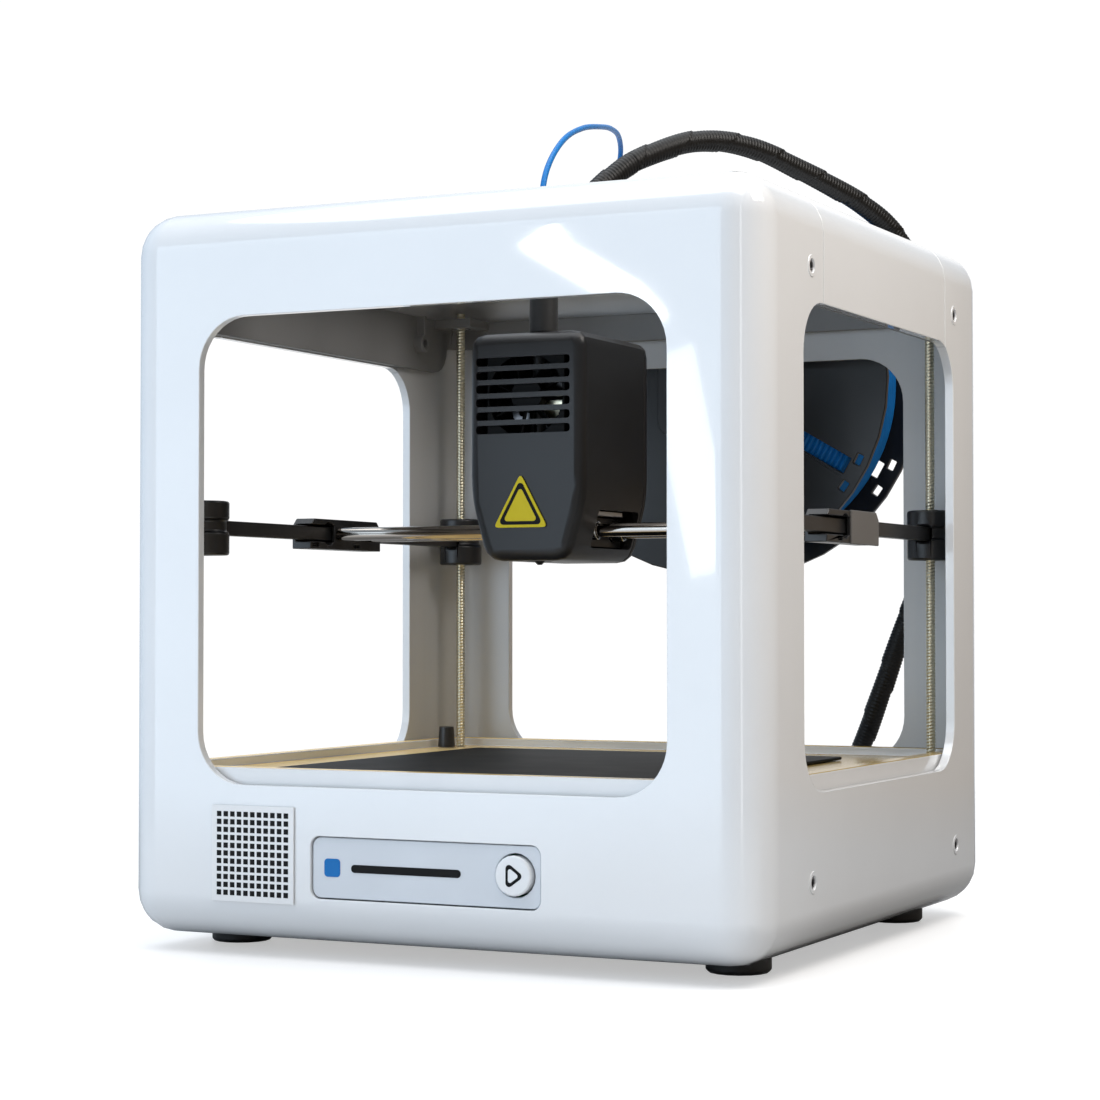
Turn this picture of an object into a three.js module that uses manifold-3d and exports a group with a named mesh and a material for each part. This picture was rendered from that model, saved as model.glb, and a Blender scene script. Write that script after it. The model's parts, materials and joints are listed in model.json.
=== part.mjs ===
// A small cube-shaped desktop 3-D printer for plastic filament, in millimetres.
// +Z is up and the control panel faces -Y. All pieces are drawn about the vertical centre line of
// the casing; the last lines move the whole printer so that its overall box is centred on the origin.
import * as THREE from 'three';
import { mergeVertices } from 'three/addons/utils/BufferGeometryUtils.js';
import { RoundedBoxGeometry } from 'three/addons/geometries/RoundedBoxGeometry.js';
import Module from 'manifold-3d';

const wasm = await Module();
wasm.setup();

// ---- driving dimensions ----
const GAP = 0.3; // between pieces that touch
const SIDE = 188; // casing width and depth
const HALF = SIDE / 2;
const FOOT_HEIGHT = 4.1; // floor to casing
const TOP = 202.4; // top of the casing
const EDGE = 12; // radius of every outer casing edge
const WALL = 2.7;
const INNER = HALF - WALL; // half width of the space inside

const WINDOW = { front: [-69, 69], side: [-64, 63], height: [45.9, 172], corner: 14 };
const COVER = [-49, 55]; // seams of the top cover, along Y
const TOP_OPENING = { x: 64, y: [-45.5, 51.5], corner: 12 };
const PANEL = { x: 0.4, z: 24.85, width: 67.2, height: 15.9, corner: 2.4 };
const BUTTON = { x: 26.7, z: 25.2, radius: 5.2, face: -94.6, back: -90 };
const LABEL = { x: -51.2, z: 27.6, side: 25.7 };
const SCREW_HOLES = { y: [-58, 64], z: [23.2, 180.9], radius: 2.8 };

const DECK = { top: 47.8, thickness: 3, lip: 50.4, lipWidth: 4.5 };
const MAT = { side: 124, y: -7, thickness: 0.9 };

const SCREW = { x: 81.3, y: 79.9, radius: 1.5, bottom: 38.5, top: 192 };
const FRONT_CARRIER_Y = -72.8;
const CARRIER = { radius: 7, neck: 6.2, z: [108.1, 114.6, 118, 123.3] };
const BAR = { width: 3.4, z: [113.9, 118.1], socket: 4 };
const SLIDER = {
  halfWidth: 3.25,
  y: [-21, 20.5],
  z: [111.2, 120.3],
  chamfer: 2.2,
  open: { left: -7.1, right: -2.2 }, // the open half ends here, along Y
  roller: { left: -10.3, right: -5.9 }, // middle of the round pocket for the roller
  pocket: 3.5, // radius of that pocket
  slots: { left: [-18, 6], right: [-10.1, 6] }, // small slots in the lower lip
};
const ROD = { radius: 2, z: 115.9, y: [-5, 13] };

const HEAD = { x: -6.18, y: [-22, 22.5], z: [106.9, 172.4], half: 18.38, foot: 13.2, knee: 125.5 };
const HEAD_WALL = 1.8;
const HEAD_EDGE = 3;
const VENT = { x: [-22.1, 7.9], top: 165.35, pitch: 3.9, height: 2.45, count: 6 };
const NOZZLE_Y = -12.6;
const FEED_Z = 150; // height of the filament drive
const FILAMENT_RADIUS = 0.875;
const DRIVE_RADIUS = 4.2;
const IDLER_RADIUS = 3.5;
const NIP = 0.2; // clearance between the filament and its two wheels
const DRIVE_X = HEAD.x + FILAMENT_RADIUS + NIP + DRIVE_RADIUS;
const IDLER_X = HEAD.x - FILAMENT_RADIUS - NIP - IDLER_RADIUS;
const FAN = { x: -7.1, z: 154.4, side: 25, y: [-19.9, -14.9], bore: 11.8, hub: 5 };
const COLLAR = { x: -4.9, y: -12.6, radius: 4.15, top: 186 };

const SPOOL = { z: 166.8, radius: 62, y: [97, 132], flange: 2.2, core: 24.6, bore: 15, winding: 54.5 };
const HOLDER = { radius: 14.2, bore: 9, plate: [94.3, 96.6] };
const REAR = 134.6; // outer face of the spool's retaining disc
const GLAND = { x: 46, z: 37.5, radius: 6.2, bore: 4.6 };
const JACK = { x: -46, z: 24 };
const SLEEVE_RADIUS = 3;

// ---- materials ----
function material(color, roughness, metalness = 0) {
  return new THREE.MeshStandardMaterial({ color, roughness, metalness });
}
const whiteGloss = material('#e6eaed', 0.18);
const deckWhite = material('#eef0f1', 0.12);
const innerGrey = material('#8b9196', 0.4);
const panelGrey = material('#d3d8dc', 0.35);
const labelWhite = material('#f2f2f0', 0.5);
const charcoal = material('#2c2e31', 0.55);
const blackPlastic = material('#17181a', 0.45);
const rubber = material('#1b1b1c', 0.85);
const matBlack = material('#202021', 0.9);
const badgeYellow = material('#dcc91a', 0.45);
const chrome = material('#c9ccd0', 0.12, 1);
const steel = material('#9a9da1', 0.35, 1);
const aluminium = material('#b9bbbd', 0.4, 1);
const brass = material('#c9bd86', 0.35, 1);
const boardGreen = material('#1f5b3a', 0.5);
const braid = material('#141416', 0.8);
const filamentBlue = material('#1f7fd6', 0.35);

// ---- shapes ----
const middle = ([a, b]) => (a + b) / 2;
const length = ([a, b]) => b - a;

function block(x, y, z) {
  const box = new THREE.BoxGeometry(length(x), length(y), length(z));
  return box.translate(middle(x), middle(y), middle(z));
}

// A round bar along the named axis; `centre` is where its axis crosses the other two directions.
function bar(axis, radius, span, centre, sides = 16) {
  const round = new THREE.CylinderGeometry(radius, radius, length(span), sides);
  if (axis === 'x') return round.rotateZ(-Math.PI / 2).translate(middle(span), ...centre);
  if (axis === 'y') return round.translate(centre[0], middle(span), centre[1]);
  return round.rotateX(Math.PI / 2).translate(...centre, middle(span));
}

function roundedRect(u, v, radius) {
  const shape = new THREE.Shape();
  const quarter = Math.PI / 2;
  shape.absarc(u[1] - radius, v[0] + radius, radius, -quarter, 0);
  shape.absarc(u[1] - radius, v[1] - radius, radius, 0, quarter);
  shape.absarc(u[0] + radius, v[1] - radius, radius, quarter, 2 * quarter);
  shape.absarc(u[0] + radius, v[0] + radius, radius, 2 * quarter, 3 * quarter);
  shape.closePath();
  return shape;
}

// A polygon whose corners [u, v, radius] are rounded by a curve.
function roundedPolygon(corners) {
  const shape = new THREE.Shape();
  corners.forEach(([u, v, radius], i) => {
    const corner = new THREE.Vector2(u, v);
    const towards = ([x, y]) => new THREE.Vector2(x, y).sub(corner).setLength(radius).add(corner);
    const before = towards(corners.at(i - 1));
    const after = towards(corners[(i + 1) % corners.length]);
    if (i === 0) shape.moveTo(before.x, before.y);
    else shape.lineTo(before.x, before.y);
    shape.quadraticCurveTo(corner.x, corner.y, after.x, after.y);
  });
  shape.closePath();
  return shape;
}

// Pushes an outline drawn in the named plane along the third axis, over `span`.
function extrude(shape, plane, span, { curveSegments = 5, bevel = 0 } = {}) {
  const geometry = new THREE.ExtrudeGeometry(shape, {
    depth: length(span) - 2 * bevel,
    curveSegments,
    bevelEnabled: bevel > 0,
    bevelSize: bevel,
    bevelThickness: bevel,
    bevelOffset: -bevel,
    bevelSegments: 3,
  });
  geometry.translate(0, 0, bevel);
  if (plane === 'xy') return geometry.translate(0, 0, span[0]);
  if (plane === 'xz') return geometry.rotateX(Math.PI / 2).translate(0, span[1], 0);
  return geometry.rotateX(Math.PI / 2).rotateZ(Math.PI / 2).translate(span[0], 0, 0);
}

// Turns a profile of [radius, height] points about the named axis through `centre`.
function turn(axis, profile, centre, sides = 16) {
  const points = profile.map(([radius, height]) => new THREE.Vector2(radius, height));
  const round = new THREE.LatheGeometry(points, sides);
  if (axis === 'y') return round.translate(centre[0], 0, centre[1]);
  return round.rotateX(Math.PI / 2).translate(...centre, 0);
}

// A ring about an axis: outer and inner radius over a span.
function ring(axis, outer, inner, span, centre, sides = 16) {
  const bore = bar(axis, inner, [span[0] - 1, span[1] + 1], centre, sides);
  return cut(bar(axis, outer, span, centre, sides), bore);
}

// A tube of `sides` facets along a smooth route.
function tube(route, radius, sides, steps) {
  const path = new THREE.CatmullRomCurve3(route.map((point) => new THREE.Vector3(...point)));
  const section = Array.from({ length: sides }, (_, i) => {
    const angle = (2 * Math.PI * i) / sides;
    return new THREE.Vector2(radius * Math.cos(angle), radius * Math.sin(angle));
  });
  return new THREE.ExtrudeGeometry(new THREE.Shape(section), { steps, extrudePath: path });
}

// ---- joining and cutting ----
function toSolid(geometry) {
  const bare = geometry.clone();
  bare.deleteAttribute('normal');
  bare.deleteAttribute('uv');
  const merged = mergeVertices(bare, 1e-4);
  return new wasm.Manifold(
    new wasm.Mesh({
      numProp: 3,
      vertProperties: new Float32Array(merged.attributes.position.array),
      triVerts: new Uint32Array(merged.index.array),
    }),
  );
}

function toGeometry(solid) {
  const mesh = solid.getMesh();
  const geometry = new THREE.BufferGeometry();
  geometry.setAttribute('position', new THREE.BufferAttribute(mesh.vertProperties, 3));
  geometry.setIndex(new THREE.BufferAttribute(mesh.triVerts, 1));
  return geometry;
}

function join(...pieces) {
  return toGeometry(pieces.map(toSolid).reduce((whole, piece) => whole.add(piece)));
}

function cut(base, ...tools) {
  return toGeometry(tools.map(toSolid).reduce((rest, tool) => rest.subtract(tool), toSolid(base)));
}

function common(a, b) {
  return toGeometry(toSolid(a).intersect(toSolid(b)));
}

// ---- assembly ----
const printer = new THREE.Group();
const groups = {};
for (const name of ['base', 'button', 'screws', 'gantry', 'carriage', 'head', 'spool']) {
  groups[name] = new THREE.Group();
  printer.add(groups[name]);
}

function add(group, name, geometry, look) {
  if (!geometry.attributes.normal) geometry.computeVertexNormals();
  const mesh = new THREE.Mesh(geometry, look);
  mesh.name = name;
  groups[group].add(mesh);
}

const sides = { left: -1, right: 1 };

// ---- casing ----
function hollowCasing() {
  const height = TOP - FOOT_HEIGHT;
  const centre = (TOP + FOOT_HEIGHT) / 2;
  const outside = new RoundedBoxGeometry(SIDE, SIDE, height, 3, EDGE).translate(0, 0, centre);
  const room = [2 * INNER, 2 * INNER, height - 2 * WALL];
  const inside = new RoundedBoxGeometry(...room, 2, EDGE - WALL).translate(0, 0, centre);
  const through = [-SIDE, SIDE];
  const { front, side, height: tall, corner } = WINDOW;
  return cut(
    outside,
    inside,
    extrude(roundedRect(front, tall, corner), 'xz', through),
    extrude(roundedRect(side, tall, corner), 'yz', through),
  );
}

function coverBand(margin) {
  const y = [COVER[0] + margin, COVER[1] - margin];
  return block([-SIDE, SIDE], y, [WINDOW.height[1] - WINDOW.corner, TOP + 1]);
}

function screwHoles() {
  return SCREW_HOLES.y.flatMap((y) =>
    SCREW_HOLES.z.map((z) => bar('x', SCREW_HOLES.radius, [-SIDE, SIDE], [y, z], 8)),
  );
}

function panelOutline(margin) {
  const u = [PANEL.x - PANEL.width / 2 - margin, PANEL.x + PANEL.width / 2 + margin];
  const v = [PANEL.z - PANEL.height / 2 - margin, PANEL.z + PANEL.height / 2 + margin];
  return roundedRect(u, v, PANEL.corner + margin);
}

function casingShell() {
  const frontWall = [-HALF - 1, -INNER + 1];
  const backWall = [INNER - 1, HALF + 1];
  const hatch = roundedRect([-60, 60], [-60, 60], 10);
  return cut(
    hollowCasing(),
    coverBand(-GAP / 2),
    ...screwHoles(),
    extrude(hatch, 'xy', [0, FOOT_HEIGHT + WALL + 1]),
    extrude(panelOutline(GAP), 'xz', frontWall),
    bar('y', GLAND.bore + 0.2, backWall, [GLAND.x, GLAND.z], 12),
    bar('y', 4.3, backWall, [JACK.x, JACK.z], 12),
  );
}

function topCover() {
  const { x, y, corner } = TOP_OPENING;
  const opening = extrude(roundedRect([-x, x], y, corner), 'xy', [TOP - 10, TOP + 10]);
  return cut(common(hollowCasing(), coverBand(GAP / 2)), opening);
}

// The bottom plate lies on the casing's floor and carries the control board on four posts.
const FLOOR = FOOT_HEIGHT + WALL + GAP;
const BOARD = { x: [-50, 50], y: [-20, 50], z: 13 };
function bottomPlate() {
  const plate = extrude(roundedRect([-83, 83], [-83, 83], 8), 'xy', [FLOOR, FLOOR + 2]);
  const posts = [];
  for (const x of BOARD.x) {
    for (const y of BOARD.y) {
      const inset = [x - Math.sign(x) * 5, y < 0 ? y + 5 : y - 5];
      posts.push(bar('z', 3, [FLOOR + 1, BOARD.z - GAP], inset, 10));
    }
  }
  const vents = [-36, -24, -12, 0, 12, 24, 36].map((x) =>
    block([x - 1.5, x + 1.5], [-50, -28], [0, FLOOR + 3]),
  );
  return cut(join(plate, ...posts), ...vents);
}

// Skirt inside the top of the casing, with the bosses for the side screws and the two bearing seats.
// Seen from the side its lower edge curves up to a shallow band before it reaches the back wall.
function upperFrame() {
  const outer = INNER - 0.4;
  const inner = outer - 2;
  const z = [WINDOW.height[1] + 0.4, 190];
  const bandBottom = 181;
  const web = 75.5; // the webs under the screw bearings start here, clear of the print head
  const profile = roundedPolygon([
    [-outer - 1, z[0], 0.5],
    [84, z[0], 9],
    [84, bandBottom, 1],
    [outer + 1, bandBottom, 0.5],
    [outer + 1, z[1], 0.5],
    [-outer - 1, z[1], 0.5],
  ]);
  const skirt = cut(
    extrude(roundedRect([-outer, outer], [-outer, outer], 8.9), 'xy', z),
    extrude(roundedRect([-inner, inner], [-inner, inner], 6.9), 'xy', [z[0] - 1, z[1] + 1]),
  );
  const pieces = [common(skirt, extrude(profile, 'yz', [-outer, outer]))];
  for (const s of [-1, 1]) {
    pieces.push(block(s < 0 ? [-inner - 1, -web] : [web, inner + 1], [web, inner - 3], [187, z[1]]));
    pieces.push(block(s < 0 ? [-80, -web] : [web, 80], [80, inner + 1], [187, z[1]]));
    for (const y of SCREW_HOLES.y) {
      const boss = s < 0 ? [-inner - 1, -inner + 3] : [inner - 3, inner + 1];
      pieces.push(bar('x', 3, boss, [y, SCREW_HOLES.z[1]], 12));
      pieces.push(block(boss, [y - 0.8, y + 0.8], [SCREW_HOLES.z[1], z[1]]));
    }
  }
  const seats = [-1, 1].map((s) => bar('z', 3.4, [180, 195], [s * SCREW.x, SCREW.y], 12));
  const bores = SCREW_HOLES.y.map((y) => bar('x', 1.6, [-SIDE, SIDE], [y, SCREW_HOLES.z[1]], 8));
  return cut(join(...pieces), ...seats, ...bores);
}

function controlPanel() {
  const plate = extrude(panelOutline(0), 'xz', [-HALF + 0.8, -INNER + 0.8]);
  return cut(plate, bar('y', 5.7, [-HALF, -INNER + 2], [BUTTON.x, BUTTON.z], 20));
}

function playButton() {
  const cap = bar('y', BUTTON.radius, [BUTTON.face, BUTTON.back], [BUTTON.x, BUTTON.z], 20);
  return join(cap, bar('y', 1.5, [BUTTON.back - 1, -89.2], [BUTTON.x, BUTTON.z], 8));
}

// The push switch is soldered to its own small board behind the panel; 1 mm of travel is free.
function buttonBoard() {
  const { x, z } = BUTTON;
  return join(
    block([x - 12, x + 12], [-85, -83.4], [z - 7, z + 7]),
    block([x - 3, x + 3], [-87.8, -84.5], [z - 3, z + 3]),
  );
}

function controlBoard() {
  const { x, y, z } = BOARD;
  return join(
    block(x, y, [z, z + 1.6]),
    block([-10, 10], [5, 25], [z + 1, z + 6]),
    block([-44, -36], [36, 49], [z + 1, z + 9]),
    block([24, 44], [36, 42], [z + 1, z + 8]),
  );
}

function powerInlet() {
  const { x, z } = JACK;
  return cut(
    join(
      block([x - 4.5, x + 4.5], [78, INNER - GAP], [z - 5, z + 5]),
      bar('y', 3.9, [88, HALF + 0.2], [x, z], 12),
    ),
    ring('y', 2.75, 1, [82, HALF + 2], [x, z], 12),
  );
}

// The deck closes the electronics space; its rim stands up just inside the window sills.
function baseDeck() {
  const outer = INNER - 0.4;
  const rim = outer - DECK.lipWidth;
  const bottom = DECK.top - DECK.thickness;
  const plate = extrude(roundedRect([-outer, outer], [-outer, outer], 8.9), 'xy', [bottom, DECK.lip]);
  const tray = extrude(roundedRect([-rim, rim], [-rim, rim], 4.4), 'xy', [DECK.top, DECK.lip + 1]);
  const passages = [-1, 1].map((s) => bar('z', 2.5, [0, DECK.lip], [s * SCREW.x, SCREW.y], 12));
  const legs = [-1, 1].flatMap((s) =>
    SCREW_HOLES.y.map((y) => {
      const x = s < 0 ? [-outer, -rim] : [rim, outer];
      return block(x, [y - 4, y + 4], [18, bottom + 1]);
    }),
  );
  const bores = SCREW_HOLES.y.map((y) => bar('x', 1.6, [-SIDE, SIDE], [y, SCREW_HOLES.z[0]], 8));
  return cut(join(plate, ...legs), tray, ...passages, ...bores);
}

function foot(x, y) {
  const top = FOOT_HEIGHT - GAP;
  const profile = [
    [0, 1.2],
    [2.2, 1.2],
    [2.2, 0],
    [7.8, 0],
    [8.5, 0.8],
    [8.5, top],
    [0, top],
  ];
  return turn('z', profile, [x, y], 16);
}

add('base', 'casing_shell', casingShell(), whiteGloss);
add('base', 'top_cover', topCover(), whiteGloss);
add('base', 'bottom_plate', bottomPlate(), innerGrey);
add('base', 'upper_frame', upperFrame(), innerGrey);
add('base', 'base_deck', baseDeck(), deckWhite);
const matHalf = MAT.side / 2;
const matOutline = roundedRect([-matHalf, matHalf], [MAT.y - matHalf, MAT.y + matHalf], 2);
const matSpan = [DECK.top + GAP, DECK.top + GAP + MAT.thickness];
add('base', 'build_mat', extrude(matOutline, 'xy', matSpan), matBlack);
for (const [end, y] of Object.entries({ front: -62.2, rear: 62.2 })) {
  for (const [side, s] of Object.entries(sides)) {
    add('base', `foot_${end}_${side}`, foot(s * 75.2, y), rubber);
  }
}
add('base', 'control_panel', controlPanel(), panelGrey);
const labelX = [LABEL.x - LABEL.side / 2, LABEL.x + LABEL.side / 2];
const labelZ = [LABEL.z - LABEL.side / 2, LABEL.z + LABEL.side / 2];
add('base', 'front_label', block(labelX, [BUTTON.face, -HALF - GAP], labelZ), labelWhite);
add('base', 'button_board', buttonBoard(), boardGreen);
add('base', 'control_board', controlBoard(), boardGreen);
add('base', 'power_inlet', powerInlet(), blackPlastic);
const stopProfile = [[0, DECK.top + GAP], [2.9, DECK.top + GAP], [2.4, 54.8], [0, 54.8]];
add('base', 'z_stop_post', turn('z', stopProfile, [-80.7, 69], 14), blackPlastic);
add('button', 'play_button', playButton(), whiteGloss);

// ---- vertical drive: a motor, a screw and a top bearing in each rear corner ----
function zMotor(s) {
  const centre = [s * SCREW.x, SCREW.y];
  const can = join(bar('z', 8.5, [22, 43.6], centre, 20), bar('z', 4, [43, 44.4], centre, 12));
  return cut(can, bar('z', 1.9, [37, 46], centre, 10));
}

for (const [side, s] of Object.entries(sides)) {
  const centre = [s * SCREW.x, SCREW.y];
  add('base', `z_motor_${side}`, zMotor(s), steel);
  add('base', `z_bearing_${side}`, ring('z', 3.1, 1.9, [186.6, 189.6], centre, 12), steel);
  add('screws', `z_screw_${side}`, bar('z', SCREW.radius, [SCREW.bottom, SCREW.top], centre, 10), brass);
}

// ---- lifting gantry: four corner carriers and two bars ----
function carrier(x, y, bore) {
  const [bottom, lowTop, highBottom, top] = CARRIER.z;
  const body = join(
    bar('z', CARRIER.radius, [bottom, lowTop], [x, y], 20),
    bar('z', CARRIER.neck, [lowTop - 1, highBottom + 1], [x, y], 20),
    bar('z', CARRIER.radius, [highBottom, top], [x, y], 20),
  );
  const inward = y < 0 ? [y + BAR.socket, y + 9] : [y - 9, y - BAR.socket];
  const halfSocket = BAR.width / 2 + GAP;
  const socket = block([x - halfSocket, x + halfSocket], inward, [BAR.z[0] - GAP, BAR.z[1] + GAP]);
  return cut(body, bar('z', bore, [bottom - 1, top + 1], [x, y], 12), socket);
}

const barReach = BAR.socket + GAP;
const barSpan = [FRONT_CARRIER_Y + barReach, SCREW.y - barReach];
for (const [side, s] of Object.entries(sides)) {
  const x = s * SCREW.x;
  const halfBar = BAR.width / 2;
  add('gantry', `corner_carrier_front_${side}`, carrier(x, FRONT_CARRIER_Y, 1.6), blackPlastic);
  add('gantry', `corner_carrier_rear_${side}`, carrier(x, SCREW.y, 3.6), blackPlastic);
  add('gantry', `z_nut_${side}`, ring('z', 3.2, 1.9, [108.6, 122.8], [x, SCREW.y], 12), brass);
  add('gantry', `y_bar_${side}`, block([x - halfBar, x + halfBar], barSpan, BAR.z), blackPlastic);
}

// ---- cross carriage: two sliders and two rods ----
function slider(side) {
  const { halfWidth, y, z, chamfer, pocket } = SLIDER;
  const x = sides[side] * SCREW.x;
  const low = z[1] - chamfer;
  const outline = new THREE.Shape([
    new THREE.Vector2(y[0], z[0]),
    new THREE.Vector2(y[1], z[0]),
    new THREE.Vector2(y[1], low),
    new THREE.Vector2(y[1] - chamfer, z[1]),
    new THREE.Vector2(y[0] + chamfer, z[1]),
    new THREE.Vector2(y[0], low),
  ]);
  const body = extrude(outline, 'yz', [x - halfWidth, x + halfWidth]);
  const channel = [BAR.z[0] - 0.5, BAR.z[1] + 0.5];
  const clear = BAR.width / 2 + 0.4;
  const wall = 0.6;
  const face = x + halfWidth;
  const inward = [x - halfWidth + wall, face + 1];
  const slots = SLIDER.slots[side].map((at) =>
    block([face - 1.2, face + 1], [at - 2, at + 2], [z[0] + 0.7, z[0] + 1.7]),
  );
  return cut(
    body,
    block([x - clear, x + clear], [y[0] - 1, y[1] + 1], channel),
    block([x, face + 1], [y[0] - 1, SLIDER.open[side]], channel),
    bar('x', pocket, inward, [SLIDER.roller[side], ROD.z], 24),
    ...slots,
  );
}

const rodEnd = SCREW.x - SLIDER.halfWidth - GAP;
for (const side of Object.keys(sides)) {
  add('carriage', `y_slider_${side}`, slider(side), blackPlastic);
}
add('carriage', 'x_rod_front', bar('x', ROD.radius, [-rodEnd, rodEnd], [ROD.y[0], ROD.z], 12), chrome);
add('carriage', 'x_rod_rear', bar('x', ROD.radius, [-rodEnd, rodEnd], [ROD.y[1], ROD.z], 12), chrome);

// ---- print head ----
function headOutline(inset) {
  const half = HEAD.half - inset;
  const footHalf = HEAD.foot - inset;
  const [bottom, top] = [HEAD.z[0] + inset, HEAD.z[1] - inset];
  const at = (u, v, radius) => [HEAD.x + u, v, radius];
  return roundedPolygon([
    at(-footHalf, bottom, 4.6),
    at(footHalf, bottom, 4.6),
    at(half, HEAD.knee, 6),
    at(half, top, 4.6),
    at(-half, top, 4.6),
    at(-half, HEAD.knee, 6),
  ]);
}

const BACK_COVER = 2.2; // thickness of the head's back cover
function headShell() {
  const { x, y, z } = HEAD;
  const back = y[1] - BACK_COVER - GAP;
  const across = [x - 30, x + 30];
  const coarse = { curveSegments: 3 };
  const outside = extrude(headOutline(0), 'xz', [y[0], y[1] + 6], { ...coarse, bevel: HEAD_EDGE });
  const inside = extrude(headOutline(HEAD_WALL), 'xz', [y[0] + HEAD_WALL, y[1] + 10], coarse);
  const slots = Array.from({ length: VENT.count }, (_, i) => {
    const top = VENT.top - i * VENT.pitch;
    const outline = roundedRect(VENT.x, [top - VENT.height, top], 0.9);
    return extrude(outline, 'xz', [y[0] - 1, y[0] + HEAD_WALL + 1], { curveSegments: 2 });
  });
  const pocket = extrude(roundedRect([-8.9, 19], [110.7, 121.8], 1.5), 'yz', across, coarse);
  return cut(
    outside,
    inside,
    block(across, [back, back + 20], [z[0] - 5, z[1] + 5]),
    ...slots,
    pocket,
    bar('z', 4.2, [z[0] - 1, z[0] + 4], [x, NOZZLE_Y], 14),
    bar('z', 3.4, [z[1] - 4, z[1] + 1], [COLLAR.x, COLLAR.y], 14),
  );
}

function xBearingBlock() {
  const { y, z } = ROD;
  const body = block([HEAD.x - 11.4, HEAD.x + 11.4], [-8.9, 18.6], [111.2, 119.9]);
  return cut(body, ...y.map((rodY) => bar('x', 3.1, [HEAD.x - 20, HEAD.x + 20], [rodY, z], 12)));
}

function heatSink() {
  const profile = [[0, 117.7], [1.5, 117.7], [1.5, 122]];
  for (let z = 122; z < 137; z += 5) {
    profile.push([5.5, z], [5.5, z + 2], [3, z + 2], [3, z + 5]);
  }
  profile.push([5.5, 137], [5.5, 139.5], [0, 139.5]);
  return turn('z', profile, [HEAD.x, NOZZLE_Y], 10);
}

function fanFrame() {
  const half = FAN.side / 2;
  const [front, back] = FAN.y;
  const outline = roundedRect([FAN.x - half, FAN.x + half], [FAN.z - half, FAN.z + half], 2);
  const housing = cut(
    extrude(outline, 'xz', FAN.y, { curveSegments: 2 }),
    bar('y', FAN.bore, [front - 1, back + 1], [FAN.x, FAN.z], 24),
  );
  const arms = [90, 210, 330].map((degrees) => {
    const arm = block([0, FAN.bore + 0.6], [back - 0.9, back], [-0.8, 0.8]);
    return arm.rotateY(THREE.MathUtils.degToRad(degrees)).translate(FAN.x, 0, FAN.z);
  });
  return join(housing, bar('y', FAN.hub, [back - 0.9, back], [FAN.x, FAN.z], 16), ...arms);
}

function fanRotor() {
  const [front, back] = FAN.y;
  const hub = bar('y', FAN.hub, [front + 0.4, back - 1.2], [FAN.x, FAN.z], 16);
  const bladeCount = 7;
  const blades = Array.from({ length: bladeCount }, (_, i) => {
    const blade = block([FAN.hub - 0.8, FAN.bore - 0.6], [-0.3, 0.3], [-2.1, 2.1]);
    blade.rotateX(THREE.MathUtils.degToRad(55));
    blade.rotateY((2 * Math.PI * i) / bladeCount);
    return blade.translate(FAN.x, (front + back) / 2 - 0.4, FAN.z);
  });
  return join(hub, ...blades);
}

function driveGear() {
  const teeth = 18;
  const points = [];
  for (let i = 0; i < teeth * 2; i += 1) {
    const radius = i % 2 ? DRIVE_RADIUS : DRIVE_RADIUS - 0.5;
    const angle = (Math.PI * i) / teeth;
    points.push(new THREE.Vector2(DRIVE_X + radius * Math.cos(angle), FEED_Z + radius * Math.sin(angle)));
  }
  const wheel = extrude(new THREE.Shape(points), 'xz', [-14.4, -10.6]);
  return join(wheel, bar('y', 1.2, [-11, -8.4], [DRIVE_X, FEED_Z], 10));
}

const HEAD_CENTRE = [HEAD.x, NOZZLE_Y];
const bushSpan = [HEAD.x - 15.2, HEAD.x + 15.2];
const nozzleProfile = [[0, 105.85], [0.6, 105.85], [2.3, 107.5], [2.3, 109.3], [0, 109.3]];
const badge = roundedPolygon([[-16, 116.4, 1.5], [1.1, 116.4, 1.5], [-7.45, 131.8, 1.5]]);
add('head', 'head_shell', headShell(), charcoal);
const backSpan = [HEAD.y[1] - BACK_COVER, HEAD.y[1]];
add('head', 'head_back_cover', extrude(headOutline(0), 'xz', backSpan, { curveSegments: 3 }), charcoal);
add('head', 'x_bearing_block', xBearingBlock(), blackPlastic);
add('head', 'x_bush_front', ring('x', 2.8, 2.25, bushSpan, [ROD.y[0], ROD.z], 12), steel);
add('head', 'x_bush_rear', ring('x', 2.8, 2.25, bushSpan, [ROD.y[1], ROD.z], 12), steel);
add('head', 'chassis_plate', block([HEAD.x - 15, HEAD.x + 15], [-7, 12], [120.2, 121.5]), aluminium);
add('head', 'heater_block', block([HEAD.x - 8, HEAD.x + 8], [-19.4, -9.4], [109.6, 117.4]), aluminium);
add('head', 'nozzle', turn('z', nozzleProfile, HEAD_CENTRE, 12), brass);
add('head', 'heat_sink', heatSink(), aluminium);
add('head', 'fan_frame', fanFrame(), blackPlastic);
add('head', 'fan_rotor', fanRotor(), blackPlastic);
const motorOutline = roundedRect([DRIVE_X - 10, DRIVE_X + 10], [FEED_Z - 10, FEED_Z + 10], 2);
add('head', 'feed_motor', extrude(motorOutline, 'xz', [-8, 18], { curveSegments: 2 }), steel);
add('head', 'feed_gear', driveGear(), brass);
add('head', 'feed_idler', ring('y', IDLER_RADIUS, 1.2, [-14.3, -10.9], [IDLER_X, FEED_Z], 16), steel);
const collarSpan = [HEAD.z[1] + GAP, COLLAR.top];
add('head', 'cable_collar', ring('z', COLLAR.radius, 3.5, collarSpan, [COLLAR.x, COLLAR.y], 16), rubber);
const badgeSpan = [HEAD.y[0] - 0.6, HEAD.y[0] - GAP];
add('head', 'front_badge', extrude(badge, 'xz', badgeSpan, { curveSegments: 3 }), badgeYellow);

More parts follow.
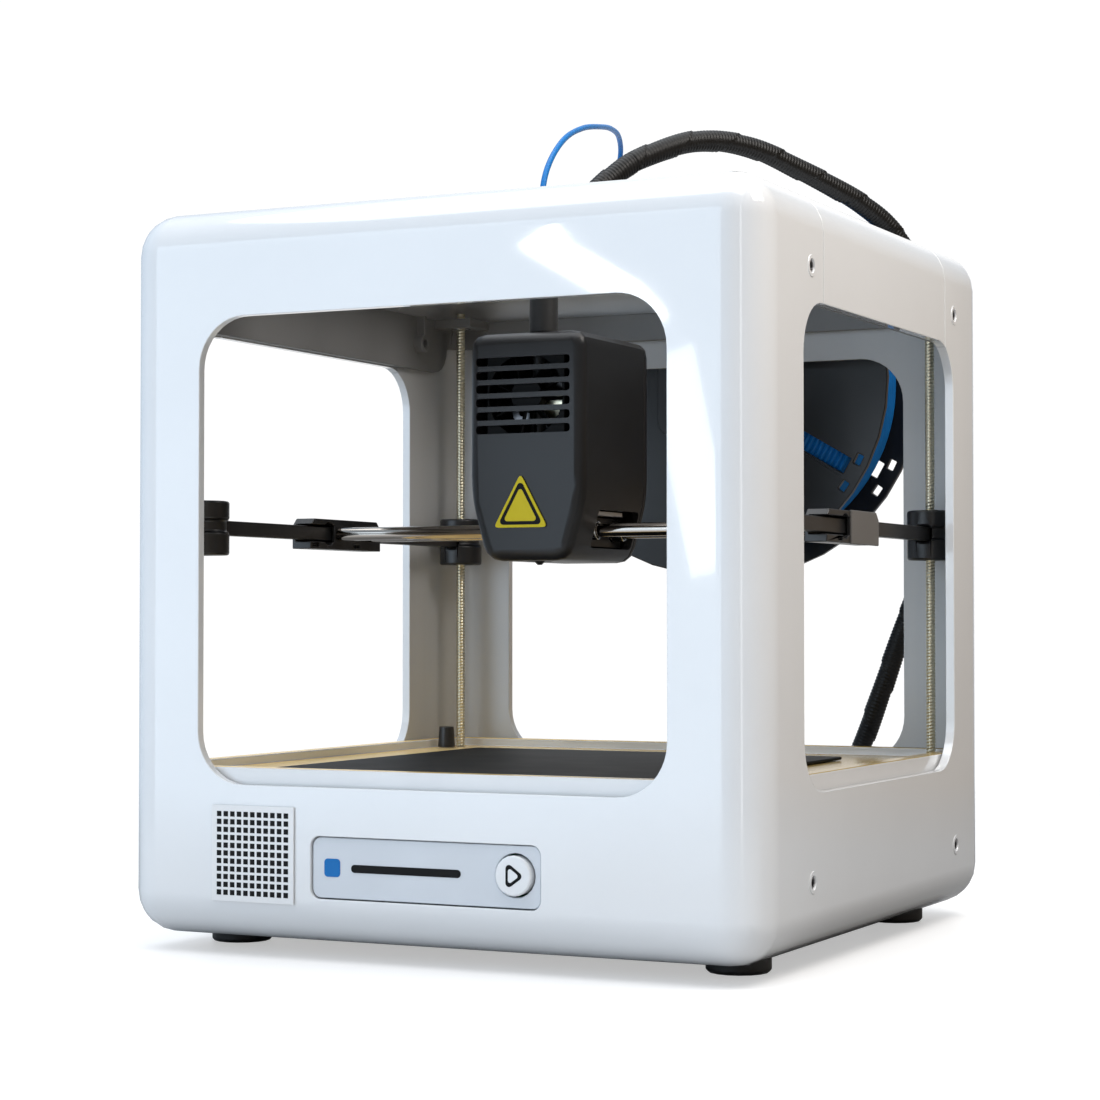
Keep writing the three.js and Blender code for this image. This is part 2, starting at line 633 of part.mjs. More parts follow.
// ---- spool and its holder ----
function spool() {
  const [front, rear] = SPOOL.y;
  const { radius, core, bore, flange } = SPOOL;
  const profile = [
    [bore, front],
    [bore, rear],
    [radius, rear],
    [radius, rear - flange],
    [core, rear - flange],
    [core, front + flange],
    [radius, front + flange],
    [radius, front],
    [bore, front],
  ];
  const reel = turn('y', profile.reverse(), [0, SPOOL.z], 40);
  const slots = [];
  const slot = (degrees, radial, tangential) => {
    const tool = block(radial, [front - 1, rear + 1], [-tangential / 2, tangential / 2]);
    slots.push(tool.rotateY(THREE.MathUtils.degToRad(-degrees)).translate(0, 0, SPOOL.z));
  };
  slot(-30, [37, 56], 5.5);
  for (const degrees of [-26.5, -36]) slot(degrees, [57.2, 59.6], 3.4);
  return cut(reel, ...slots);
}

function winding() {
  const span = [SPOOL.y[0] + SPOOL.flange + GAP, SPOOL.y[1] - SPOOL.flange - GAP];
  return ring('y', SPOOL.winding, SPOOL.core + 0.4, span, [0, SPOOL.z], 40);
}

// The holder hooks over the top edge of the rear window and carries the reel on a hollow stub.
function spoolHolder() {
  const [plateFront, plateRear] = HOLDER.plate;
  const sill = WINDOW.height[1] - GAP;
  const hookFront = INNER - 3;
  const plate = extrude(roundedRect([-16, 16], [150, 192], 5), 'xz', HOLDER.plate, { curveSegments: 3 });
  return cut(
    join(
      plate,
      block([-9, 9], [hookFront, plateFront + 1], [sill - 3, sill]),
      block([-9, 9], [hookFront, INNER - GAP], [sill - 3, 179]),
      bar('y', HOLDER.radius, [plateRear - 1, REAR - 2.4], [0, SPOOL.z], 32),
    ),
    bar('y', HOLDER.bore, [plateRear + 2, REAR], [0, SPOOL.z], 24),
  );
}

function spoolRetainer() {
  const disc = bar('y', 19, [REAR - 2.1, REAR], [0, SPOOL.z], 32);
  return join(disc, bar('y', HOLDER.bore - 0.4, [REAR - 12, REAR - 1], [0, SPOOL.z], 20));
}

add('base', 'spool_holder', spoolHolder(), blackPlastic);
add('base', 'spool_retainer', spoolRetainer(), blackPlastic);
add('spool', 'spool_reel', spool(), blackPlastic);
add('spool', 'filament_winding', winding(), filamentBlue);

// ---- cable sleeve and filament strand ----
// Each route is one smooth line, cut in two pieces: one that leaves with the head and one held by
// the casing behind the top opening.
const sleeveHead = [
  [-3.1, -9.8, 186.5], [-2.5, -9.2, 192], [-0.8, -6.6, 201], [2.4, -0.6, 211.5],
  [6.8, 7, 219.5], [12.5, 16.5, 226.6], [23.1, 33.5, 233.8], [33.4, 50.4, 234.2],
];
const sleeveRear = [
  [33.9, 51.2, 234.2], [43.9, 67.4, 229], [56.4, 87.6, 220.7], [63.8, 99.6, 211.8], [71, 110, 195],
  [76, 115, 175], [78, 117, 152], [76, 115, 128], [71, 110, 108], [64.5, 105.5, 88], [57.2, 103.5, 66],
  [51.4, 105, 52], [47.8, 104.6, 43.6], [46.2, 101, 38.6], [GLAND.x, 96, GLAND.z], [GLAND.x, 86, GLAND.z],
];
const filamentHead = [
  [HEAD.x, NOZZLE_Y, 139.9], [HEAD.x, NOZZLE_Y, 153], [HEAD.x, NOZZLE_Y, 166], [-5.9, -13.2, 174],
  [-5.6, -14.1, 182], [-5, -14, 200], [-5.4, -12.4, 214], [-6.2, -6, 223.6], [-9, 10, 233.4],
  [-12.6, 30, 240.2], [-16.4, 50, 244.4],
];
const filamentRear = [
  [-16.5, 50.5, 244.5], [-21.5, 70, 247.6], [-27, 88, 248.5], [-33.2, 103, 245.4], [-39.6, 112, 238.6],
  [-47, 115, 224], [-52.4, 115, 203], [-55.3, 115, 182], [-55.8, 115, 167.5],
];
add('head', 'sleeve_moving', tube(sleeveHead, SLEEVE_RADIUS, 10, 9), braid);
add('base', 'sleeve_fixed', tube(sleeveRear, SLEEVE_RADIUS, 10, 36), braid);
add('head', 'filament_moving', tube(filamentHead, FILAMENT_RADIUS, 6, 22), filamentBlue);
add('base', 'filament_fixed', tube(filamentRear, FILAMENT_RADIUS, 6, 22), filamentBlue);
const glandSpan = [HALF + GAP, HALF + 4];
const gland = ring('y', GLAND.radius, GLAND.bore, glandSpan, [GLAND.x, GLAND.z], 16);
add('base', 'cable_gland', gland, rubber);

// ---- centre the overall box on the origin ----
printer.position.y = -(REAR + BUTTON.face) / 2;

export default printer;
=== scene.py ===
"""Looks of a small white desktop 3-D printer, built around its CAD model."""

import json
import math

import bmesh
import bpy
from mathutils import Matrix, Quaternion, Vector

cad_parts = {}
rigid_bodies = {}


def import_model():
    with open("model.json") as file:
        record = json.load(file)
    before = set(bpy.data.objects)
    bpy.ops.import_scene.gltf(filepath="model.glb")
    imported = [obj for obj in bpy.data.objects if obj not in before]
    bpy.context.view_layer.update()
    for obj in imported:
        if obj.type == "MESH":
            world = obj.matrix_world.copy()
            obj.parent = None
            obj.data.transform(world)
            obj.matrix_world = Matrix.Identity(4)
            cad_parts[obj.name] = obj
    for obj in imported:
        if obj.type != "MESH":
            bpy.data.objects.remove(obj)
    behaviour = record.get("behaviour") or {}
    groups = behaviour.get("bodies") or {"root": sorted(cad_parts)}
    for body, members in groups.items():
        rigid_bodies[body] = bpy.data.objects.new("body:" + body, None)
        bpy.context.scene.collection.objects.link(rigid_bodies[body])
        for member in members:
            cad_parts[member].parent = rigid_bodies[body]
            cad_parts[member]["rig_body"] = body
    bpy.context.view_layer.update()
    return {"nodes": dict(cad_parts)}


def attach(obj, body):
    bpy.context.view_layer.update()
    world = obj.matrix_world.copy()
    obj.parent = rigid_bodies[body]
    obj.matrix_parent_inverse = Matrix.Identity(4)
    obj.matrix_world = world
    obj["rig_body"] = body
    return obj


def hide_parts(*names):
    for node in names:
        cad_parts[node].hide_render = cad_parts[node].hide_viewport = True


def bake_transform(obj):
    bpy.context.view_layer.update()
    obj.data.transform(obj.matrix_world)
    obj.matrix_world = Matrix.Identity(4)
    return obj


MM = 0.001
CASE_Y = -20.0  # the casing's centre in the row frame, mm
TAU = 2 * math.pi

# Sizes in mm, x and y from the casing's centre, z from the feet
SIDE_FACE = 94.0
SLEEVE_RADIUS = 3.0
SLEEVE_LENGTH = 358.0  # rounded down from its route
RIB_PITCH = 1.1
RIB_HEIGHT = 0.2
LAP_ADVANCE = 17.0  # the overlapping edge goes once round in this length
LAP_HEIGHT = 0.35
FULLNESS = 0.4  # how much the sleeve's radius grows between its ends
FULL_AFTER = 40.0
FILAMENT_RADIUS = 0.875
END_HOLD = 0.84  # share of the radius for an inward step at each end of a length; the step is not used
SCREW_ROWS = (23.2, 180.9)
SCREW_COLUMNS = (-58.0, 64.0)
LEAD_SCREW_X = 81.3
LEAD_SCREW_Y = 79.9
LEAD_SCREW_SPAN = (38.5, 192.0)
LEAD_SCREW_RADIUS = 1.5
THREAD_PITCH = 1.0
THREAD_STARTS = 2
CARRIER_FRONT_Y = -72.8
SPOOL_CENTRE_Z = 166.8
WINDING_SPAN = (99.5, 129.5)
WINDING_RADIUS = 54.5
WINDING_CORE = 24.9
LABEL_FACE = -94.6
LABEL_CENTRE = (-51.2, 27.6)
BUTTON_FACE = -94.6
BADGE_FACE = -22.6
BADGE_CORNERS = [(-14.95, 117.0), (0.05, 117.0), (-7.45, 130.6)]
BADGE_CENTRE = (-7.45, 121.5)
PANEL_PRINT = (-93.35, -93.1)  # the depths that the bar and the square on the panel span
ROLLERS = (("left", -83.5, -10.3), ("right", 79.1, -5.9))
ROD_Z = 115.9
HEAD_X = -6.18
NOZZLE_Y = -12.6
FLOOR_LIFT = 0.46  # light added to the floor where the camera sees it

# Camera
CAMERA_PLACE = (0.3229, -0.6985, 0.0911)
CAMERA_AZIMUTH = 26.07
CAMERA_ELEVATION = -1.47
CAMERA_LENS = 84.29

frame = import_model()
scene = bpy.context.scene


# Camera, floor and lights


def make_camera():
    azimuth, elevation = math.radians(CAMERA_AZIMUTH), math.radians(CAMERA_ELEVATION)
    back = Vector(
        (
            math.sin(azimuth) * math.cos(elevation),
            -math.cos(azimuth) * math.cos(elevation),
            math.sin(elevation),
        )
    )
    data = bpy.data.cameras.new("studio_camera")
    data.lens = CAMERA_LENS
    data.sensor_width = 36
    data.clip_start = 0.01
    data.clip_end = 50
    camera = bpy.data.objects.new("studio_camera", data)
    camera.location = CAMERA_PLACE
    camera.rotation_mode = "QUATERNION"
    camera.rotation_quaternion = (-back).to_track_quat("-Z", "Y")
    scene.collection.objects.link(camera)
    scene.camera = camera


def soft_light(name, where, aim, size, power, tint=(1, 1, 1), roll=0.0):
    data = bpy.data.lights.new(name, "AREA")
    data.shape = "RECTANGLE"
    data.size, data.size_y = size
    data.energy = power
    data.color = tint
    light = bpy.data.objects.new(name, data)
    light.location = where
    light.rotation_mode = "QUATERNION"
    turn = (Vector(aim) - Vector(where)).to_track_quat("-Z", "Y")
    light.rotation_quaternion = turn @ Quaternion((0, 0, 1), math.radians(roll))
    light.visible_camera = False
    scene.collection.objects.link(light)


def make_world():
    """White behind the object, cool light on the left, and a dim right with a low warm band."""
    world = bpy.data.worlds.new("studio")
    world.use_nodes = True
    nodes, links = world.node_tree.nodes, world.node_tree.links
    nodes.clear()
    where = nodes.new("ShaderNodeTexCoord")
    split = nodes.new("ShaderNodeSeparateXYZ")
    links.new(where.outputs["Generated"], split.inputs[0])

    def share_along(axis, start, end):
        spread = nodes.new("ShaderNodeMapRange")
        spread.interpolation_type = "SMOOTHSTEP"
        spread.inputs["From Min"].default_value = start
        spread.inputs["From Max"].default_value = end
        links.new(split.outputs[axis], spread.inputs["Value"])
        return spread.outputs["Result"]

    def toward(before, share, colour):
        mix = nodes.new("ShaderNodeMix")
        mix.data_type = "RGBA"
        links.new(share, mix.inputs["Factor"])
        links.new(before, mix.inputs["A"])
        mix.inputs["B"].default_value = (*colour, 1)
        return mix.outputs["Result"]

    def both(one, other):
        product = nodes.new("ShaderNodeMath")
        product.operation = "MULTIPLY"
        links.new(one, product.inputs[0])
        links.new(other, product.inputs[1])
        return product.outputs[0]

    left = nodes.new("ShaderNodeRGB")
    left.outputs[0].default_value = (0.46, 0.55, 0.66, 1)
    fill = toward(left.outputs[0], share_along("X", -0.4, 0.5), (0.20, 0.19, 0.18))
    behind_left = both(share_along("Y", 0.65, 0.9), share_along("X", 0.1, -0.25))
    fill = toward(fill, behind_left, (0.95, 0.95, 0.95))
    low_right = both(share_along("X", 0.0, 0.4), share_along("Z", 0.35, 0.1))
    fill = toward(fill, low_right, (0.30, 0.23, 0.16))
    lighting = nodes.new("ShaderNodeBackground")
    links.new(fill, lighting.inputs["Color"])
    seen = nodes.new("ShaderNodeBackground")
    seen.inputs["Color"].default_value = (1, 1, 1, 1)
    seen.inputs["Strength"].default_value = 1.05
    path = nodes.new("ShaderNodeLightPath")
    mix = nodes.new("ShaderNodeMixShader")
    output = nodes.new("ShaderNodeOutputWorld")
    links.new(path.outputs["Is Camera Ray"], mix.inputs[0])
    links.new(lighting.outputs[0], mix.inputs[1])
    links.new(seen.outputs[0], mix.inputs[2])
    links.new(mix.outputs[0], output.inputs["Surface"])
    scene.world = world


def make_floor():
    """A pale round floor, lifted a little where it is seen, that fades out into the white."""
    radius, rings, sides = 0.75, 6, 64
    bm = bmesh.new()
    loops = [
        ring_of(bm, (0, 0, 0), radius * (k + 1) / rings, sides, "z") for k in range(rings)
    ]
    bm.faces.new(loops[0])
    join_rings(bm, loops)
    bmesh.ops.recalc_face_normals(bm, faces=bm.faces)
    mesh = bpy.data.meshes.new("floor")
    bm.to_mesh(mesh)
    bm.free()
    floor = bpy.data.objects.new("floor", mesh)
    floor.location = (0, 0, -0.0002)
    material = surface("pale_floor", (0.60, 0.60, 0.60), 0.5, tint=0.01, tint_scale=3)
    nodes, links = material.node_tree.nodes, material.node_tree.links
    where = nodes.new("ShaderNodeTexCoord")
    distance = nodes.new("ShaderNodeVectorMath")
    distance.operation = "LENGTH"
    links.new(where.outputs["Object"], distance.inputs[0])
    fade = nodes.new("ShaderNodeMapRange")
    fade.inputs["From Min"].default_value = 0.3
    fade.inputs["From Max"].default_value = radius * 0.97
    fade.inputs["To Min"].default_value = 1
    fade.inputs["To Max"].default_value = 0
    links.new(distance.outputs["Value"], fade.inputs["Value"])
    shader = nodes["Principled BSDF"]
    links.new(fade.outputs["Result"], shader.inputs["Alpha"])
    path = nodes.new("ShaderNodeLightPath")
    lift = nodes.new("ShaderNodeMapRange")
    lift.inputs["To Min"].default_value = 0
    lift.inputs["To Max"].default_value = FLOOR_LIFT
    links.new(path.outputs["Is Camera Ray"], lift.inputs["Value"])
    shader.inputs["Emission Color"].default_value = (1, 1, 1, 1)
    links.new(lift.outputs["Result"], shader.inputs["Emission Strength"])
    split = nodes.new("ShaderNodeSeparateXYZ")
    links.new(where.outputs["Object"], split.inputs[0])
    bounce = nodes.new("ShaderNodeMapRange")
    bounce.inputs["From Min"].default_value = -0.05
    bounce.inputs["From Max"].default_value = -0.2
    bounce.inputs["To Min"].default_value = 0.24
    bounce.inputs["To Max"].default_value = 0.85
    links.new(split.outputs["Y"], bounce.inputs["Value"])
    pale = nodes.new("ShaderNodeMix")
    pale.data_type = "RGBA"
    links.new(bounce.outputs["Result"], pale.inputs["A"])
    links.new(path.outputs["Is Camera Ray"], pale.inputs["Factor"])
    links.new(shader.inputs["Base Color"].links[0].from_socket, pale.inputs["B"])
    links.new(pale.outputs["Result"], shader.inputs["Base Color"])
    mesh.materials.append(material)
    scene.collection.objects.link(floor)


def light_studio():
    scene.view_settings.view_transform = "Standard"
    make_world()
    middle = (0, -0.02, 0.1)
    soft_light("overhead", (0, -0.1, 1.5), middle, (1.8, 1.8), 24)
    soft_light("cool_front", (-0.7, -1.5, 0.2), middle, (1.2, 1.2), 7.4, (0.70, 0.85, 1))
    soft_light("warm_side", (0.30, -0.05, 0.42), (0.09, -0.03, 0.16), (0.2, 0.2), 0.98,
               (1, 0.95, 0.9))
    soft_light("upper_strip", (-0.36, -1.0, 0.312), (-0.36, 0, 0.312), (0.03, 0.11), 0.115,
               roll=42)
    soft_light("lower_strip", (-0.285, -1.0, 0.185), (-0.285, 0, 0.185), (0.055, 0.15), 0.09,
               roll=20)
    soft_light("edge_strip", (0.75, -1.0, 0.2), middle, (0.07, 0.9), 0.4)


# Materials


def surface(name, colour, rough, metal=0.0, tint=0.05, tint_scale=60.0, grain=0.0,
            grain_scale=3000.0, rough_spread=0.05, coat=0.0, sheen=0.0, shine=0.5,
            stretch=(1, 1, 1)):
    """A material whose colour and roughness drift gently, with a fine raised grain."""
    material = bpy.data.materials.new(name)
    material.use_nodes = True
    nodes, links = material.node_tree.nodes, material.node_tree.links
    shader = nodes["Principled BSDF"]
    shader.inputs["Metallic"].default_value = metal
    shader.inputs["Coat Weight"].default_value = coat
    shader.inputs["Coat Roughness"].default_value = 0.025
    shader.inputs["Specular IOR Level"].default_value = shine
    shader.inputs["Sheen Weight"].default_value = sheen
    where = nodes.new("ShaderNodeTexCoord")
    scaled = nodes.new("ShaderNodeMapping")
    scaled.inputs["Scale"].default_value = stretch
    links.new(where.outputs["Object"], scaled.inputs["Vector"])
    drift = nodes.new("ShaderNodeTexNoise")
    drift.inputs["Scale"].default_value = tint_scale
    drift.inputs["Detail"].default_value = 4
    links.new(scaled.outputs[0], drift.inputs["Vector"])
    ramp = nodes.new("ShaderNodeValToRGB")
    ramp.color_ramp.elements[0].position = 0.3
    ramp.color_ramp.elements[1].position = 0.7
    ramp.color_ramp.elements[0].color = [c * (1 - tint) for c in colour] + [1]
    ramp.color_ramp.elements[1].color = [min(1, c * (1 + tint)) for c in colour] + [1]
    links.new(drift.outputs["Fac"], ramp.inputs["Fac"])
    links.new(ramp.outputs["Color"], shader.inputs["Base Color"])
    spread = nodes.new("ShaderNodeMapRange")
    spread.inputs["To Min"].default_value = max(0.02, rough - rough_spread)
    spread.inputs["To Max"].default_value = rough + rough_spread
    links.new(drift.outputs["Fac"], spread.inputs["Value"])
    links.new(spread.outputs["Result"], shader.inputs["Roughness"])
    if grain:
        fine = nodes.new("ShaderNodeTexNoise")
        fine.inputs["Scale"].default_value = grain_scale
        fine.inputs["Detail"].default_value = 2
        links.new(scaled.outputs[0], fine.inputs["Vector"])
        bump = nodes.new("ShaderNodeBump")
        bump.inputs["Strength"].default_value = 0.6
        bump.inputs["Distance"].default_value = grain * MM
        links.new(fine.outputs["Fac"], bump.inputs["Height"])
        links.new(bump.outputs["Normal"], shader.inputs["Normal"])
    return material


def painted_light_across(name, left_colour, right_colour):
    """A satin material whose colour goes from one on the left of the object to another on the
    right, as painted light.
    """
    material = surface(name, left_colour, 0.2, metal=0.1, rough_spread=0.0, shine=0.06)
    nodes, links = material.node_tree.nodes, material.node_tree.links
    shader = nodes["Principled BSDF"]
    where = nodes.new("ShaderNodeTexCoord")
    split = nodes.new("ShaderNodeSeparateXYZ")
    links.new(where.outputs["Object"], split.inputs[0])
    share = nodes.new("ShaderNodeMapRange")
    share.inputs["From Min"].default_value = -0.06
    share.inputs["From Max"].default_value = 0.06
    links.new(split.outputs["X"], share.inputs["Value"])
    mix = nodes.new("ShaderNodeMix")
    mix.data_type = "RGBA"
    links.new(share.outputs["Result"], mix.inputs["Factor"])
    links.new(shader.inputs["Base Color"].links[0].from_socket, mix.inputs["A"])
    mix.inputs["B"].default_value = (*right_colour, 1)
    links.new(mix.outputs["Result"], shader.inputs["Base Color"])
    return material


def make_looks():
    """One material for each slot of the record, and a few for details."""
    white = (0.80, 0.82, 0.84)
    black = (0.014, 0.014, 0.015)
    return {
        "white_gloss": surface("white_gloss", white, 0.05, tint=0.012, tint_scale=25,
                               grain=0.0006, grain_scale=500, rough_spread=0.01, coat=0.8),
        # The casing's own white, painted darker for its inner walls as painted shade.
        "white_in_painted_shade": surface("white_in_painted_shade", (0.55, 0.56, 0.57), 0.3, tint=0.04, grain=0.01,
                                stretch=(1, 1, 0.05)),
        "deck_white": surface("deck_white", (0.74, 0.75, 0.76), 0.08, tint=0.02,
                              rough_spread=0.02, coat=0.5),
        # The deck's gold, painted brighter on the left as a painted reflection and darker gold
        # towards the right.
        "deck_gold_painted_light": painted_light_across("deck_gold_painted_light", (1.0, 0.72, 0.32), (0.34, 0.24, 0.08)),
        "inner_grey": surface("inner_grey", (0.20, 0.20, 0.20), 0.4, tint=0.05, grain=0.02,
                              stretch=(1, 1, 0.1)),
        "panel_grey": surface("panel_grey", (0.66, 0.70, 0.75), 0.3, tint=0.02, grain=0.006),
        "label_white": surface("label_white", (0.82, 0.83, 0.84), 0.45, tint=0.02, grain=0.006),
        "label_dark": surface("label_dark", (0.004, 0.004, 0.004), 0.5, tint=0.1, shine=0.15),
        "charcoal": surface("charcoal", (0.018, 0.018, 0.019), 0.36, shine=0.35, tint=0.08,
                            grain=0.02, grain_scale=3500),
        "black_plastic": surface("black_plastic", black, 0.34, tint=0.12, grain=0.012),
        "rubber": surface("rubber", (0.012, 0.012, 0.012), 0.55, tint=0.15, grain=0.03,
                          sheen=0.1),
        "mat_black": surface("mat_black", (0.006, 0.006, 0.006), 0.6, tint=0.12, grain=0.05,
                             grain_scale=1800, shine=0.15),
        "badge_yellow": surface("badge_yellow", (0.74, 0.60, 0.002), 0.35, tint=0.03, grain=0.004,
                                shine=0.2),
        # Chrome painted darker and warmer than bare chrome: a painted reflection of dark, warm
        # surroundings.
        "chrome": surface("chrome", (0.42, 0.38, 0.34), 0.08, metal=1, tint=0.03, rough_spread=0.03,
                          stretch=(1, 0.1, 1)),
        "steel": surface("steel", (0.62, 0.63, 0.64), 0.24, metal=1, tint=0.06),
        "aluminium": surface("aluminium", (0.72, 0.73, 0.74), 0.32, metal=1, tint=0.06, grain=0.01),
        "brass": surface("brass", (0.80, 0.75, 0.58), 0.3, metal=1, tint=0.06),
        "board_green": surface("board_green", (0.01, 0.12, 0.05), 0.4, tint=0.15),
        "braid": surface("braid", (0.004, 0.004, 0.004), 0.4, tint=0.4, tint_scale=500,
                         shine=0.3),
        "filament_blue": surface("filament_blue", (0.005, 0.16, 0.48), 0.35, tint=0.06, shine=0.2,
                                 tint_scale=120),
        "spool_black": surface("spool_black", (0.010, 0.010, 0.011), 0.3, tint=0.12, grain=0.01),
        # The slider's black plastic as it looks where light falls on it: painted light.
        "slider_painted_light_grey": surface("slider_painted_light_grey", (0.13, 0.125, 0.12), 0.4, tint=0.06, grain=0.015),
        # The fans' own black, made darker still as painted shade in the head's vents.
        "fan_black_and_painted_shade": surface("fan_black_and_painted_shade", (0.002, 0.002, 0.002), 0.5, tint=0.2, grain=0.01,
                             shine=0.12),
        # Metal painted dark: painted shade on the heat sink, feed motor and idler inside the head,
        # and a painted dark reflection on the side screw heads.
        "metal_with_painted_shade": surface("metal_with_painted_shade", (0.20, 0.20, 0.21), 0.35, metal=1, tint=0.1,
                              grain=0.01),
    }


# Making pieces


def make_piece(name, bm, body, look, stands_for=(), round_off=0.0, steps=2,
               crease=32, in_mm=True, weighted=True):
    """Turns a bmesh into a piece that rides on a CAD body, with edges rounded by round_off mm."""
    if in_mm:
        bmesh.ops.scale(bm, vec=(MM, MM, MM), verts=bm.verts)
        bmesh.ops.translate(bm, vec=(0, CASE_Y * MM, 0), verts=bm.verts)
    mesh = bpy.data.meshes.new(name)
    bm.to_mesh(mesh)
    bm.free()
    for face in mesh.polygons:
        face.use_smooth = True
    mesh.set_sharp_from_angle(angle=math.radians(crease))
    piece = bpy.data.objects.new(name, mesh)
    for material in look if isinstance(look, (list, tuple)) else [look]:
        mesh.materials.append(material)
    scene.collection.objects.link(piece)
    if round_off:
        bevel = piece.modifiers.new("rounded_edges", "BEVEL")
        bevel.width = round_off * MM
        bevel.segments = steps
        bevel.limit_method = "ANGLE"
        bevel.angle_limit = math.radians(crease)
        bevel.use_clamp_overlap = False
        bevel.miter_outer = "MITER_ARC"
    if weighted:
        even = piece.modifiers.new("even_normals", "WEIGHTED_NORMAL")
        even.keep_sharp = True
        even.weight = 100
    if stands_for:
        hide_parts(*stands_for)
    if body:
        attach(piece, body)
    return piece


def copy_of(node, whole=True):
    """The mesh of a CAD node, in metres, with its flat faces made whole again."""
    source = frame["nodes"][node].data
    bm = bmesh.new()
    verts = [bm.verts.new(v.co) for v in source.vertices]
    for face in source.polygons:
        bm.faces.new([verts[i] for i in face.vertices])
    bmesh.ops.remove_doubles(bm, verts=bm.verts, dist=0.002 * MM)
    if whole:
        bmesh.ops.dissolve_limit(bm, angle_limit=math.radians(0.6), verts=bm.verts, edges=bm.edges)
    bmesh.ops.recalc_face_normals(bm, faces=bm.faces)
    return bm


def refine(node, look, round_off=0.0, steps=2, crease=32, also=None, paint=None, whole=True):
    """A CAD node with rounded edges and a material. paint picks the second material's faces."""
    source = frame["nodes"][node]
    bm = copy_of(node, whole)
    if paint:
        for face in bm.faces:
            if paint(face.calc_center_median() / MM - Vector((0, CASE_Y, 0)), face.normal):
                face.material_index = 1
    return make_piece(
        node + "_finish",
        bm,
        source["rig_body"],
        [look, also] if also else look,
        stands_for=[node],
        round_off=round_off,
        steps=steps,
        crease=crease,
        in_mm=False,
    )


def ring_of(bm, centre, radius, sides, axis):
    """A ring of vertices round an axis given as 'x', 'y' or 'z'."""
    across = {"x": ("y", "z"), "y": ("z", "x"), "z": ("x", "y")}[axis]
    ring = []
    for k in range(sides):
        point = Vector(centre)
        setattr(point, across[0], getattr(point, across[0]) + radius * math.cos(TAU * k / sides))
        setattr(point, across[1], getattr(point, across[1]) + radius * math.sin(TAU * k / sides))
        ring.append(bm.verts.new(point))
    return ring


def join_rings(bm, rings, close=False):
    """Quads between each ring and the next. close joins the last ring to the first as well."""
    pairs = list(zip(rings, rings[1:])) + ([(rings[-1], rings[0])] if close else [])
    for one, other in pairs:
        for k in range(len(one)):
            after = (k + 1) % len(one)
            bm.faces.new((one[k], one[after], other[after], other[k]))


def turned(bm, centre, profile, sides, axis, close=False):
    """A turned shape: profile is (distance along the axis, radius) pairs from centre."""
    unit = {"x": Vector((1, 0, 0)), "y": Vector((0, 1, 0)), "z": Vector((0, 0, 1))}[axis]
    rings = [
        ring_of(bm, Vector(centre) + unit * along, radius, sides, axis)
        for along, radius in profile
    ]
    join_rings(bm, rings, close)
    if not close:
        bm.faces.new(list(reversed(rings[0])))
        bm.faces.new(rings[-1])
    bmesh.ops.recalc_face_normals(bm, faces=bm.faces)


def prism(bm, outline, low, high, axis="y"):
    """A closed prism: an outline of (u, w) points spanning low to high along an axis."""
    spot_on = {
        "y": lambda u, w, d: (u, d, w),
        "x": lambda u, w, d: (d, u, w),
        "z": lambda u, w, d: (u, w, d),
    }[axis]
    near = [bm.verts.new(spot_on(u, w, low)) for u, w in outline]
    far = [bm.verts.new(spot_on(u, w, high)) for u, w in outline]
    faces = [bm.faces.new(near), bm.faces.new(list(reversed(far)))]
    for k in range(len(near)):
        after = (k + 1) % len(near)
        faces.append(bm.faces.new((near[k], far[k], far[after], near[after])))
    bmesh.ops.recalc_face_normals(bm, faces=bm.faces)


def framed(bm, outline, centre, share, face_y):
    """A thin frame on a front face, between an outline and the same outline drawn smaller."""
    inner = [tuple(centre + (Vector(p) - centre) * share) for p in outline]
    layers = ((outline, 0.05), (outline, -0.06), (inner, -0.06), (inner, 0.05))
    loops = [[bm.verts.new((u, face_y + y, w)) for u, w in edge] for edge, y in layers]
    join_rings(bm, loops, close=True)
    bmesh.ops.recalc_face_normals(bm, faces=bm.faces)


def rounded(corners, radius, steps=5):
    """The outline of a polygon with its corners rounded."""
    outline = []
    for k, corner in enumerate(corners):
        here = Vector(corner)
        before = (Vector(corners[k - 1]) - here).normalized()
        after = (Vector(corners[(k + 1) % len(corners)]) - here).normalized()
        half = before.angle(after) / 2
        reach = radius / math.tan(half)
        centre = here + (before + after).normalized() * radius / math.sin(half)
        start = here + before * reach - centre
        end = here + after * reach - centre
        for step in range(steps + 1):
            outline.append(tuple(centre + start.slerp(end, step / steps)))
    return outline


def rectangle(x, z, width, height):
    return [
        (x - width / 2, z - height / 2),
        (x + width / 2, z - height / 2),
        (x + width / 2, z + height / 2),
        (x - width / 2, z + height / 2),
    ]


# Cables and filament

